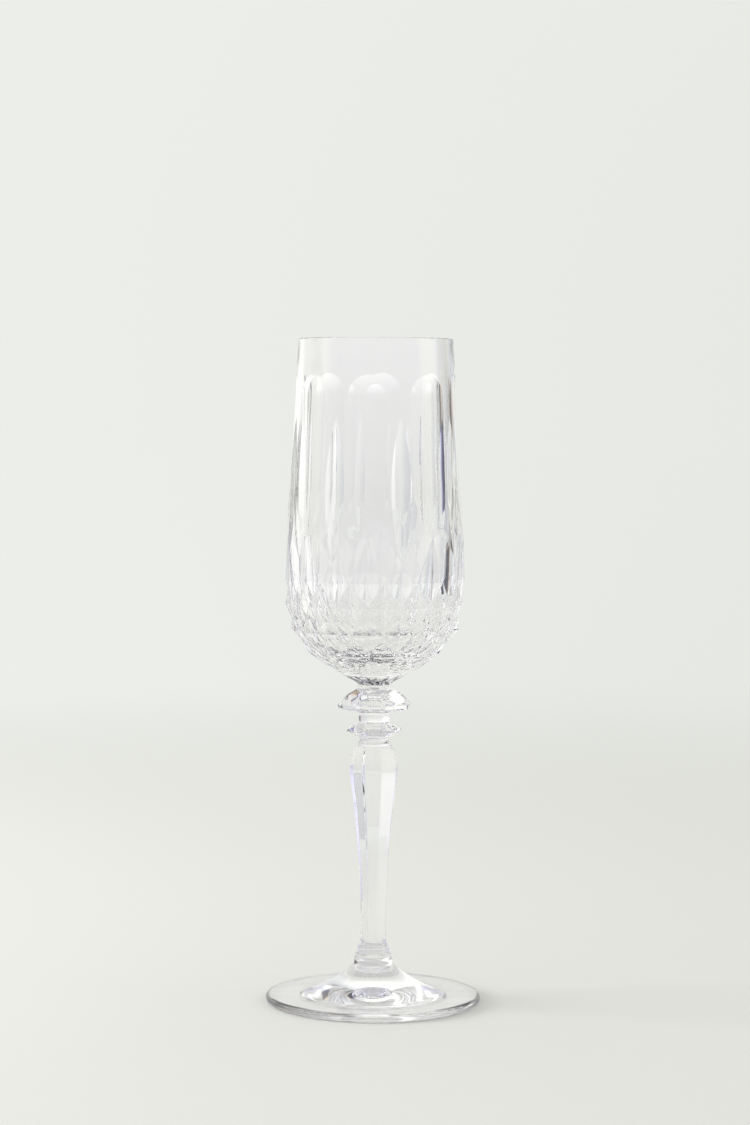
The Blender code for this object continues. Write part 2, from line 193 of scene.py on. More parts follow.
def spinProfile(profile, steps):
    mesh = bmesh.new()
    line = [mesh.verts.new((radius, 0.0, height)) for radius, height in profile]
    edges = [mesh.edges.new(pair) for pair in zip(line, line[1:])]
    bmesh.ops.spin(
        mesh, geom=line + edges, cent=(0, 0, 0), axis=(0, 0, 1),
        angle=math.tau, steps=steps, use_merge=True,
    )
    bmesh.ops.remove_doubles(mesh, verts=mesh.verts, dist=mergeDistance)
    bmesh.ops.recalc_face_normals(mesh, faces=mesh.faces)
    return mesh


def grindFlats(mesh, flatRadius, softness):
    pitch = math.tau / sides
    for vertex in mesh.verts:
        radius = vertex.co.xy.length
        if radius < mergeDistance:
            continue
        angle = math.atan2(vertex.co.y, vertex.co.x)
        fromFlat = (angle + pitch / 2) % pitch - pitch / 2
        limit = flatRadius(vertex.co.z) / math.cos(fromFlat)
        gap = radius - limit
        if gap > -softness:
            blend = min(1.0, (gap + softness) / (2 * softness))
            eased = limit if gap > softness else radius - softness * blend * blend
            vertex.co.xy *= eased / radius


def finishPiece(name, mesh, materials, sharpAngle, node, fusedHeights=()):
    fused = len(materials)
    for face in mesh.faces:
        centre = face.calc_center_median()
        for height in fusedHeights:
            if abs(centre.z - height) < jointDistance and abs(face.normal.z) > levelNormal:
                face.material_index = fused
    data = bpy.data.meshes.new(name)
    mesh.to_mesh(data)
    mesh.free()
    for material in materials:
        data.materials.append(material)
    if fusedHeights:
        data.materials.append(fusedJoint)
    data.set_sharp_from_angle(angle=math.radians(sharpAngle))
    piece = bpy.data.objects.new(name, data)
    scene.collection.objects.link(piece)
    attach(piece, "root")
    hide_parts(node)
    print("made", name, len(data.polygons), "faces")
    return piece


def smoothAll(mesh):
    for face in mesh.faces:
        face.smooth = True


foot = {
    "radius": 0.0350,
    "brimInner": 0.0240,
    "brimThickness": 0.0026,
    "kickRadius": 0.0200,
    "kickHeight": 0.0026,
    "kickEase": 1.5,
    "neckPull": 0.0030,
    "brimPull": 0.0060,
    "brimLift": 0.0008,
    "middleSteps": 40,
    "edgeSteps": 12,
    "kickSteps": 24,
    "sharpAngle": 40,
}


def buildFoot():
    top = joints["foot_merese"]
    neck = fusedRadius["foot_merese"]
    middle = bezier(
        (neck, top),
        (neck + foot["neckPull"], top - foot["neckPull"]),
        (foot["brimInner"] - foot["brimPull"], foot["brimThickness"] + foot["brimLift"]),
        (foot["brimInner"], foot["brimThickness"]),
        foot["middleSteps"],
    )
    half = foot["brimThickness"] / 2
    edge = []
    for step in range(foot["edgeSteps"] + 1):
        turn = math.pi / 2 - math.pi * step / foot["edgeSteps"]
        edge.append((foot["radius"] - half + half * math.cos(turn), half + half * math.sin(turn)))
    hollow = []
    for step in range(foot["kickSteps"] + 1):
        share = step / foot["kickSteps"]
        rise = (1 - (1 - share) ** 2) ** foot["kickEase"]
        hollow.append((foot["kickRadius"] * (1 - share), foot["kickHeight"] * rise))
    mesh = spinProfile(refine([(0.0, top)] + middle + edge + hollow, finestStep), footSteps)
    smoothAll(mesh)
    return finishPiece("footDisc", mesh, [footGlass], foot["sharpAngle"], "foot", [top])


sides = 8
flatShare = math.cos(math.pi / sides)     # from the corners of an eight-sided piece to its flats
stemSharpAngle = 30
merese = {"bulge": 0.0003, "steps": 8}
footCollar = {
    "topFlare": 0.0004,
    "topShare": 0.70,
    "lowFlare": -0.0002,
    "lowShare": 0.45,
    "steps": 48,
    "ridges": 3,
    "ridgeHeight": 0.00022,
}
baluster = {
    "radius": 0.0084,
    "shoulderBelowTop": 0.0084,
    "waistRadius": 0.0042,
    "waistHeight": 0.0070,
    "shoulderPullIn": 0.28,
    "shoulderPullDown": 0.16,
    "waistPullOut": 0.03,
    "waistPullUp": 0.40,
    "endPull": 0.0030,
    "domeSteps": 14,
    "taperSteps": 40,
    "endSteps": 8,
    "easing": 10,
    "edgeSoftness": 0.00012,
}
lowerKnop = {
    "radius": 0.0092,
    "crown": 0.0003,
    "crownDrop": 0.0004,
    "shoulder": 0.80,         # share of both its radius and its height
    "edge": 0.56,
    "edgeHalf": 0.0003,
    "neck": 0.14,
    "neckRound": 0.0005,
    "neckCorner": 5,
    "edgeSoftness": 0.00010,
}
upperKnop = {
    "radius": 0.0125,
    "crown": 0.0003,
    "crownDrop": 0.0006,
    "shoulderLift": 0.0004,
    "bandTop": 0.38,
    "band": 0.0014,
    "bandTaper": 0.0002,
    "neck": 0.0004,
    "neckRise": 0.0003,
    "edgeSoftness": 0.00010,
}


def turnedPiece(name, side, node, low, high, flatRadius=None, softness=0.0):
    profile = [(0.0, high)] + side + [(0.0, low)]
    mesh = spinProfile(profile, turnSteps)
    if flatRadius:
        grindFlats(mesh, flatRadius, softness)
    smoothAll(mesh)
    return finishPiece(name, mesh, [stemGlass], stemSharpAngle, node, [low, high])


def easeRadii(side, rounds):
    # takes the crease out of a side outline; its ends stay
    for _ in range(rounds):
        radii = [radius for radius, height in side]
        for index in range(1, len(side) - 1):
            eased = (radii[index - 1] + 2 * radii[index] + radii[index + 1]) / 4
            side[index] = (eased, side[index][1])
    return side


def along(profile):
    ordered = sorted(profile, key=lambda point: point[1])

    def radiusAt(height):
        for (r0, z0), (r1, z1) in zip(ordered, ordered[1:]):
            if z0 <= height <= z1:
                return r0 if z1 == z0 else r0 + (r1 - r0) * (height - z0) / (z1 - z0)
        return ordered[0][0] if height < ordered[0][1] else ordered[-1][0]
    return radiusAt


def buildCollar():
    low, high = joints["foot_merese"], joints["baluster_stem"]
    tall = high - low
    topRadius, lowRadius = fusedRadius["baluster_stem"], fusedRadius["foot_merese"]
    side = bezier(
        (topRadius, high),
        (topRadius + footCollar["topFlare"], low + tall * footCollar["topShare"]),
        (lowRadius + footCollar["lowFlare"], low + tall * footCollar["lowShare"]),
        (lowRadius, low),
        footCollar["steps"],
    )
    ridged = []
    for radius, height in side:
        share = (high - height) / tall
        ripple = math.sin(math.pi * footCollar["ridges"] * share) ** 2 * math.sin(math.pi * share)
        ridged.append((radius + footCollar["ridgeHeight"] * ripple, height))
    turnedPiece("footCollar", ridged, "foot_merese", low, high)


def buildBaluster():
    low, high = joints["baluster_stem"], joints["neck_merese"]
    shoulder = high - baluster["shoulderBelowTop"]
    waist = low + baluster["waistHeight"]
    fall = shoulder - waist
    swell = baluster["radius"] - baluster["waistRadius"]
    neck = fusedRadius["neck_merese"]
    dome = []
    for step in range(baluster["domeSteps"] + 1):
        turn = math.pi / 2 * step / baluster["domeSteps"]
        dome.append((
            neck + (baluster["radius"] - neck) * math.sin(turn),
            shoulder + (high - shoulder) * math.cos(turn),
        ))
    shoulderPull = (
        baluster["radius"] - swell * baluster["shoulderPullIn"],
        shoulder - fall * baluster["shoulderPullDown"],
    )
    waistPull = (
        baluster["waistRadius"] + swell * baluster["waistPullOut"],
        waist + fall * baluster["waistPullUp"],
    )
    taper = bezier(
        (baluster["radius"], shoulder), shoulderPull,
        waistPull, (baluster["waistRadius"], waist),
        baluster["taperSteps"],
    )
    lowEnd = bezier(
        (baluster["waistRadius"], waist),
        (baluster["waistRadius"], waist - baluster["endPull"]),
        (fusedRadius["baluster_stem"], low + baluster["endPull"]),
        (fusedRadius["baluster_stem"], low),
        baluster["endSteps"],
    )
    side = easeRadii(dome + taper[1:] + lowEnd[1:], baluster["easing"])
    corner = along(side)
    turnedPiece(
        "balusterStem", side, "baluster_stem", low, high,
        lambda z: corner(z) * flatShare, baluster["edgeSoftness"],
    )


def buildLowerKnop():
    low, high = joints["lower_knop"], joints["waist_merese"]
    tall = high - low
    radius = lowerKnop["radius"]
    topRadius, lowRadius = fusedRadius["waist_merese"], fusedRadius["lower_knop"]
    edgeHeight = low + tall * lowerKnop["edge"]
    side = [
        (topRadius, high),
        (topRadius + lowerKnop["crown"], high - lowerKnop["crownDrop"]),
        (radius * lowerKnop["shoulder"], low + tall * lowerKnop["shoulder"]),
        (radius, edgeHeight + lowerKnop["edgeHalf"]),
        (radius, edgeHeight - lowerKnop["edgeHalf"]),
        (lowRadius, low + tall * lowerKnop["neck"]),
        (lowRadius, low),
    ]
    side = refine(roundOff(side, lowerKnop["neckCorner"], lowerKnop["neckRound"]), finestStep)
    corner = along(side)
    turnedPiece(
        "lowerKnop", side, "lower_knop", low, high,
        lambda z: corner(z) * flatShare, lowerKnop["edgeSoftness"],
    )


def buildUpperKnop():
    low, high = joints["upper_knop"], joints["bowl"]
    radius = upperKnop["radius"]
    topRadius, lowRadius = fusedRadius["bowl"], fusedRadius["upper_knop"]
    bandTop = low + (high - low) * upperKnop["bandTop"]
    side = refine([
        (topRadius, high),
        (topRadius + upperKnop["crown"], high - upperKnop["crownDrop"]),
        ((topRadius + radius) / 2, (high + bandTop) / 2 + upperKnop["shoulderLift"]),
        (radius, bandTop),
        (radius - upperKnop["bandTaper"], bandTop - upperKnop["band"]),
        (lowRadius + upperKnop["neck"], low + upperKnop["neckRise"]),
        (lowRadius, low),
    ], finestStep)
    corner = along(side)
    turnedPiece(
        "upperKnop", side, "upper_knop", low, high,
        lambda z: corner(z) * flatShare, upperKnop["edgeSoftness"],
    )


def buildStem():
    buildCollar()
    buildBaluster()
    ring("neckRing", "neck_merese", "lower_knop")
    ring("waistRing", "waist_merese", "upper_knop")
    buildLowerKnop()
    buildUpperKnop()


def ring(name, node, nodeAbove):
    low, high = joints[node], joints[nodeAbove]
    lowRadius, highRadius = fusedRadius[node], fusedRadius[nodeAbove]
    side = []
    for step in range(merese["steps"] + 1):
        t = step / merese["steps"]
        bulge = merese["bulge"] * math.sin(math.pi * t)
        side.append((highRadius + (lowRadius - highRadius) * t + bulge, high + (low - high) * t))
    turnedPiece(name, side, node, low, high)


bowl = {
    "rimRadius": 0.0249,
    "rimWall": 0.0014,
    "rimRound": 0.0003,
    "bellyRadius": 0.0293,
    "bellyHeight": 0.0310,
    "bellyWall": 0.0045,
    "neckRingRadius": 0.0069,
    "neckRingHeight": 0.0020,
    "hollowFloor": 0.0093,
    "wallBow": 0.25,          # how far the wall bows out from a straight line
    "panels": 8,
    "stepsAcross": 14,
    "floorSteps": 28,
    "wallSteps": 40,
    "rimSteps": 8,
    "sharpAngle": 9,
}
panelCut = {
    "depth": 0.00085,
    "topBelowRim": 0.0118,
    "bottom": 0.0490,
    "taper": 0.0140,
    "archRadius": 0.0290,
    "archSteps": 12,
    "faceSteps": 8,
    "widthShare": 0.95,
}
leafCut = {
    "depth": 0.0014,
    "width": 0.0070,
    "bottom": 0.0410,
    "length": 0.0462,
    "clear": 0.0014,
    "sweep": 22,
    "steps": 64,
}
diamonds = {
    "depth": 0.0015,
    "fluteDepth": 0.0005,
    "flute": (0.0059, 0.0146),
    "kite": (0.0112, 0.0076),
    "shoulder": (0.0184, 0.0021),
    "girdle": (0.0270, 0.0001),
    "tip": 0.0349,
    "spearRise": 0.0070,
    "spearFlare": 0.0006,
    "scallop": 0.0004,
    "polish": 0.00020,
    "polishAbove": 4,         # degrees between two facets
}
bowlBase = joints["bowl"]
bowlTall = rimTop - bowlBase
halfPitch = math.pi / bowl["panels"]
clearOfBowl = 0.0040
belowBowl = 0.0010


def wallRadius(height):
    fall = (bowlTall - height) / (bowlTall - bowl["bellyHeight"])
    share = (1 + bowl["wallBow"]) * fall - bowl["wallBow"] * fall ** 3
    return bowl["rimRadius"] + (bowl["bellyRadius"] - bowl["rimRadius"]) * share


def innerRadius(height):
    fall = (bowlTall - height) / (bowlTall - bowl["bellyHeight"])
    return wallRadius(height) - (bowl["rimWall"] + (bowl["bellyWall"] - bowl["rimWall"]) * fall)


def bowlProfile():
    lip = bowl["rimWall"] / 2
    lipHeight = bowlTall - bowl["rimRound"]
    belly = bowl["bellyHeight"]
    insideRadius = bowl["bellyRadius"] - bowl["bellyWall"]
    hollow = []
    for step in range(bowl["floorSteps"]):
        turn = math.pi / 2 * step / bowl["floorSteps"]
        drop = (belly - bowl["hollowFloor"]) * math.cos(turn)
        hollow.append((insideRadius * math.sin(turn), belly - drop))
    steps = bowl["wallSteps"]
    heights = [belly + (lipHeight - belly) * step / steps for step in range(steps + 1)]
    inside = [(innerRadius(height), height) for height in heights]
    rim = []
    for step in range(1, bowl["rimSteps"]):
        turn = math.pi * (1 - step / bowl["rimSteps"])
        height = lipHeight + bowl["rimRound"] * math.sin(turn)
        rim.append((bowl["rimRadius"] - lip + lip * math.cos(turn), height))
    outside = [(wallRadius(height), height) for height in reversed(heights)]
    kite, scallop = diamonds["kite"], diamonds["scallop"]
    ringRadius, ringHeight = bowl["neckRingRadius"], bowl["neckRingHeight"]
    below = [
        (bowl["bellyRadius"], diamonds["shoulder"][0]),
        (bowl["bellyRadius"] - kite[1] + scallop * 2, kite[0] - scallop),
        (ringRadius + scallop * 2, ringHeight + scallop / 2),
        (ringRadius, ringHeight),
        (fusedRadius["bowl"], ringHeight / 3),
        (fusedRadius["bowl"], 0.0),
    ]
    return hollow + inside + rim + outside + below


def bowlWedge():
    mesh = bmesh.new()
    profile = bowlProfile() + [(0.0, 0.0)]
    outline = [mesh.verts.new((radius, 0.0, height)) for radius, height in profile]
    mesh.faces.new(outline)
    bmesh.ops.spin(
        mesh, geom=mesh.faces[:], cent=(0, 0, 0), axis=(0, 0, 1),
        angle=halfPitch, steps=bowl["stepsAcross"],
    )
    bmesh.ops.remove_doubles(mesh, verts=mesh.verts, dist=mergeDistance)
    bmesh.ops.dissolve_degenerate(mesh, edges=mesh.edges, dist=mergeDistance)
    bmesh.ops.recalc_face_normals(mesh, faces=mesh.faces)
    smoothAll(mesh)
    return mesh


def facetRows():
    depth, scallop = diamonds["depth"], diamonds["scallop"]
    belly = bowl["bellyRadius"]
    flute, kite, shoulder, girdle = (
        belly - diamonds[name][1] for name in ("flute", "kite", "shoulder", "girdle")
    )
    tip = wallRadius(diamonds["tip"])
    ringRadius = bowl["neckRingRadius"]
    clear = belly + clearOfBowl
    spear = wallRadius(panelCut["bottom"])
    above = panelCut["bottom"] + diamonds["spearRise"]

    def row(height, onLines, between):
        return ((height, onLines), (height, onLines), (height, between))

    return [
        row(-belowBowl, ringRadius + belowBowl, ringRadius + belowBowl),
        row(bowl["neckRingHeight"], ringRadius - scallop, ringRadius + scallop),
        row(diamonds["flute"][0], flute - diamonds["fluteDepth"], flute),
        row(diamonds["kite"][0], kite - depth, kite),
        row(diamonds["shoulder"][0], shoulder, shoulder - depth),
        row(diamonds["girdle"][0], girdle - depth, girdle),
        row(diamonds["tip"], tip, tip - depth),
        (
            (panelCut["bottom"], spear),
            (leafCut["bottom"], wallRadius(leafCut["bottom"])),
            (above, spear + diamonds["spearFlare"]),
        ),
        row(above + diamonds["spearRise"], clear, clear),
        row(bowlTall + clearOfBowl, clear, clear),
    ]


def facetShell():
    columns = bowl["panels"] * 4
    mesh = bmesh.new()
    circle = bmesh.ops.create_circle(mesh, cap_ends=False, segments=columns, radius=1.0)
    corners = circle["verts"]
    rings = []
    for level, row in enumerate(facetRows()):
        if level:
            edges = [edge for edge in mesh.edges if all(vertex in corners for vertex in edge.verts)]
            grown = bmesh.ops.extrude_edge_only(mesh, edges=edges)["geom"]
            corners = [item for item in grown if isinstance(item, bmesh.types.BMVert)]
        placed = {}
        for vertex in corners:
            angle = math.atan2(vertex.co.y, vertex.co.x)
            index = round(angle / math.tau * columns) % columns
            height, radius = row[2 if index % 2 else (index % 4) // 2]
            turn = math.tau * index / columns
            vertex.co = (radius * math.cos(turn), radius * math.sin(turn), height)
            placed[index] = vertex
        rings.append(placed)
    for level, (below, above) in enumerate(zip(rings, rings[1:])):
        for index in range(columns):
            after = (index + 1) % columns
            if (index + level) % 2 == 0:
                ends = [below[after], above[index]]
            else:
                ends = [below[index], above[after]]
            bmesh.ops.connect_verts(mesh, verts=ends)
    bmesh.ops.holes_fill(mesh, edges=mesh.edges, sides=columns)
    bmesh.ops.recalc_face_normals(mesh, faces=mesh.faces)
    dullest = math.radians(diamonds["polishAbove"])
    polished = [edge for edge in mesh.edges if edge.calc_face_angle(0.0) > dullest]
    bmesh.ops.bevel(
        mesh, geom=polished, offset=diamonds["polish"], segments=2,
        profile=0.5, affect="EDGES", material=-1, clamp_overlap=True,
    )
    return mesh


def leafWheel():
    depth, low = leafCut["depth"], leafCut["bottom"]
    high = low + leafCut["length"]
    bottom = Vector((wallRadius(low), low))
    top = Vector((wallRadius(high), high))
    chord = top - bottom
    wheelRadius = chord.length ** 2 / (8 * depth) + depth / 2
    outwards = Vector((chord.y, -chord.x)).normalized()
    centre = (top + bottom) / 2 + outwards * (wheelRadius - depth)
    reach = depth + leafCut["clear"]
    halfWidth = reach * leafCut["width"] / 2 / depth
    mesh = bmesh.new()
    corners = [(wheelRadius, 0.0), (wheelRadius - reach, halfWidth), (wheelRadius - reach, -halfWidth)]
    outline = [mesh.verts.new((centre.x - reachOut, across, centre.y)) for reachOut, across in corners]
    mesh.faces.new(outline)
    sweep = math.radians(leafCut["sweep"])
    middle = (centre.x, 0.0, centre.y)
    bmesh.ops.rotate(mesh, verts=mesh.verts, cent=middle, matrix=Matrix.Rotation(-sweep / 2, 3, "Y"))
    bmesh.ops.spin(
        mesh, geom=mesh.faces[:], cent=middle, axis=(0, 1, 0), angle=sweep, steps=leafCut["steps"],
    )
    bmesh.ops.remove_doubles(mesh, verts=mesh.verts, dist=mergeDistance)
    bmesh.ops.recalc_face_normals(mesh, faces=mesh.faces)
    bmesh.ops.rotate(mesh, verts=mesh.verts, cent=(0, 0, 0), matrix=Matrix.Rotation(halfPitch, 3, "Z"))
    smoothAll(mesh)
    return mesh


def panelBlock():
    depth, bottom = panelCut["depth"], panelCut["bottom"]
    archHeight = math.sqrt(2 * panelCut["archRadius"] * depth)
    faceTop = bowlTall - panelCut["topBelowRim"] - archHeight
    faceBottom = bottom + panelCut["taper"]
    points = []
    for step in range(panelCut["archSteps"] + 1, -1, -1):
        share = step / panelCut["archSteps"]
        height = faceTop + archHeight * share
        points.append((wallRadius(height) - depth * (1 - share ** 2), height))
    for step in range(1, panelCut["faceSteps"] + 1):
        height = faceTop + (faceBottom - faceTop) * step / panelCut["faceSteps"]
        points.append((wallRadius(height) - depth, height))
    points.append((wallRadius(bottom), bottom))
    outer = bowl["bellyRadius"] + clearOfBowl
    points.append((outer, bottom))
    points.append((outer, points[0][1]))
    halfWidth = bowl["bellyRadius"] * math.tan(halfPitch) * panelCut["widthShare"]
    mesh = bmesh.new()
    outline = [mesh.verts.new((radius, -halfWidth, height)) for radius, height in points]
    face = mesh.faces.new(outline)
    grown = bmesh.ops.extrude_face_region(mesh, geom=[face])["geom"]
    moved = [item for item in grown if isinstance(item, bmesh.types.BMVert)]
    bmesh.ops.translate(mesh, verts=moved, vec=(0.0, 2 * halfWidth, 0.0))
    bmesh.ops.recalc_face_normals(mesh, faces=mesh.faces)
    smoothAll(mesh)
    return mesh


def toObject(name, mesh, material):
    data = bpy.data.meshes.new(name)
    mesh.to_mesh(data)
    mesh.free()
    data.materials.append(material)
    item = bpy.data.objects.new(name, data)
    scene.collection.objects.link(item)
    return item


def carve(blank, cutters):
    for cutter, operation in cutters:
        modifier = blank.modifiers.new(cutter.name, "BOOLEAN")
        modifier.operation = operation
        modifier.object = cutter
        modifier.solver = "EXACT"
        modifier.material_mode = "TRANSFER"
    bpy.context.view_layer.update()
    ready = blank.evaluated_get(bpy.context.evaluated_depsgraph_get())
    carved = bpy.data.meshes.new_from_object(ready)
    for item in [blank] + [cutter for cutter, operation in cutters]:
        bpy.data.objects.remove(item)
    return carved


def buildBowl():
    blank = toObject("bowlBlank", bowlWedge(), blownGlass)
    blank.data.materials.append(cutGlass)
    carved = carve(blank, [
        (toObject("facetShell", facetShell(), cutGlass), "INTERSECT"),
        (toObject("panelBlock", panelBlock(), cutGlass), "DIFFERENCE"),
        (toObject("leafWheel", leafWheel(), cutGlass), "DIFFERENCE"),
    ])
    mesh = bmesh.new()
    mesh.from_mesh(carved)
    # open the two flat sides of the wedge, then mirror it and repeat it round the axis
    sideways = Vector((-math.sin(halfPitch), math.cos(halfPitch), 0.0))
    flat = []
    for face in mesh.faces:
        onFirst = all(abs(vertex.co.y) < mergeDistance for vertex in face.verts)
        onSecond = all(abs(vertex.co.dot(sideways)) < mergeDistance for vertex in face.verts)
        if onFirst or onSecond:
            flat.append(face)
    bmesh.ops.delete(mesh, geom=flat, context="FACES")
    wedge = mesh.verts[:] + mesh.edges[:] + mesh.faces[:]
    bmesh.ops.mirror(mesh, geom=wedge, axis="Y", merge_dist=mergeDistance)
    copies = bowl["panels"] - 1
    bmesh.ops.spin(
        mesh, geom=mesh.verts[:] + mesh.edges[:] + mesh.faces[:], cent=(0, 0, 0), axis=(0, 0, 1),
        angle=math.tau * copies / bowl["panels"], steps=copies, use_duplicate=True,
    )
    bmesh.ops.remove_doubles(mesh, verts=mesh.verts, dist=seamDistance)
    bmesh.ops.recalc_face_normals(mesh, faces=mesh.faces)
    bmesh.ops.translate(mesh, verts=mesh.verts, vec=(0.0, 0.0, bowlBase))
    loose = [edge for edge in mesh.edges if not edge.is_manifold]
    print("bowl edges that are not closed:", len(loose))
    return finishPiece("bowlBody", mesh, [blownGlass, cutGlass], bowl["sharpAngle"], "bowl", [bowlBase])


buildFoot()
buildStem()
buildBowl()


view = {
    "distance": 0.930,
    "height": 0.197,
    "azimuth": 5.2,
    "pitch": -3.3,
    "roll": 0.27,
    "lens": 91.94,
    "sensor": 36.0,
}
stage = {
    "floorRadius": 9.0,
    "floorDrop": 0.0001,
    "paper": (0.664, 0.667, 0.643),
    "glow": (0.31, 0.31, 0.295),
    "glowInner": 0.030,
    "glowOuter": 0.0365,
    "fadeStart": 0.28,
    "fadeEnd": 1.10,
    "skyLeft": (0.845, 0.862, 0.826),
    "skyRight": (0.790, 0.808, 0.772),
    "skyTop": (0.90, 0.90, 0.88),
    "skyTurn": 16.0,          # degrees either side of the view over which left turns to right
    "climbFrom": 0.02,        # sine of the climb at which the sky starts to turn to its top tone
    "climbTo": 0.60,
    "grain": 900.0,
    "grainShade": 0.996,
}
lights = {
    # lamps light the paper only, and the glass sees the cards instead
    # azimuth runs from the camera, positive to its right, in degrees
    "window": {"azimuth": -92, "distance": 1.00, "width": 0.60, "height": 0.45, "bottom": 0.12,
               "power": 9.6, "colour": (1.0, 0.995, 0.98)},
    "fill": {"azimuth": 81, "distance": 1.00, "width": 0.36, "height": 0.60, "bottom": 0.05,
             "power": 0.7, "colour": (1.0, 0.99, 0.97)},
    "top": {"azimuth": 180, "distance": 0.30, "width": 1.40, "height": 1.40, "bottom": 1.60,
            "power": 2.6, "colour": (1.0, 1.0, 0.99)},
}
cards = {
    # a ring of cards that only the glass sees; azimuth from straight behind, positive to the right
    "radius": 1.20,
    "height": 1.30,
    "strength": 1.45,
    "liftHeight": 0.50,       # they brighten from the floor up to this height
    "liftLow": 0.80,
    "liftHigh": 1.14,
    "roof": (0.36, 0.36, 0.37),
    "tones": (
        (-180, (0.49, 0.48, 0.60)),
        (-112, (0.49, 0.48, 0.60)),
        (-108, (0.58, 0.56, 0.80)),
        (-104, (0.84, 0.84, 0.82)),
        (-40, (0.84, 0.84, 0.82)),
        (-26, (0.80, 0.80, 0.78)),
        (-19, (0.680, 0.685, 0.655)),
        (15, (0.665, 0.670, 0.640)),
        (21, (0.57, 0.58, 0.58)),
        (46, (0.47, 0.48, 0.50)),
        (50, (0.44, 0.33, 0.23)),
        (54, (0.05, 0.05, 0.06)),
        (74, (0.05, 0.05, 0.08)),
        (78, (0.24, 0.25, 0.50)),
        (82, (0.76, 0.76, 0.75)),
        (109, (0.76, 0.76, 0.75)),
        (114, (0.49, 0.48, 0.60)),
        (180, (0.49, 0.48, 0.60)),
    ),
}
cameraTurn = math.radians(view["azimuth"])


def around(azimuth, distance, height):
    turn = math.radians(azimuth) + cameraTurn
    return Vector((distance * math.sin(turn), -distance * math.cos(turn), height))


def backdropColour(tree, direction):
    # the tone of the room behind, which falls off from the window side to the other
    sideways = Vector((math.cos(cameraTurn), math.sin(cameraTurn), 0.0))
    reach = math.sin(math.radians(stage["skyTurn"]))
    across = tree.nodes.new("ShaderNodeVectorMath")
    across.operation = "DOT_PRODUCT"
    across.inputs[1].default_value = sideways
    tree.links.new(direction, across.inputs[0])
    share = tree.nodes.new("ShaderNodeMapRange")
    share.interpolation_type = "SMOOTHSTEP"
    share.inputs["From Min"].default_value = -reach
    share.inputs["From Max"].default_value = reach
    tree.links.new(across.outputs["Value"], share.inputs["Value"])
    colour = tree.nodes.new("ShaderNodeMix")
    colour.data_type = "RGBA"
    colour.inputs["A"].default_value = (*stage["skyLeft"], 1.0)
    colour.inputs["B"].default_value = (*stage["skyRight"], 1.0)
    tree.links.new(share.outputs["Result"], colour.inputs["Factor"])
    return colour.outputs["Result"]


def buildSky():
    world = bpy.data.worlds.new("studio sky")
    scene.world = world
    world.use_nodes = True
    tree = world.node_tree
    background = tree.nodes["Background"]
    place = tree.nodes.new("ShaderNodeTexCoord")
    base = backdropColour(tree, place.outputs["Generated"])
    split = tree.nodes.new("ShaderNodeSeparateXYZ")
    tree.links.new(place.outputs["Generated"], split.inputs["Vector"])
    climb = tree.nodes.new("ShaderNodeMapRange")
    climb.interpolation_type = "SMOOTHSTEP"
    climb.inputs["From Min"].default_value = stage["climbFrom"]
    climb.inputs["From Max"].default_value = stage["climbTo"]
    tree.links.new(split.outputs["Z"], climb.inputs["Value"])
    colour = tree.nodes.new("ShaderNodeMix")
    colour.data_type = "RGBA"
    colour.inputs["B"].default_value = (*stage["skyTop"], 1.0)
    tree.links.new(climb.outputs["Result"], colour.inputs["Factor"])
    tree.links.new(base, colour.inputs["A"])
    tree.links.new(colour.outputs["Result"], background.inputs["Color"])


def stageObject(name, mesh, material):
    data = bpy.data.meshes.new(name)
    mesh.to_mesh(data)
    mesh.free()
    data.materials.append(material)
    item = bpy.data.objects.new(name, data)
    scene.collection.objects.link(item)
    return item


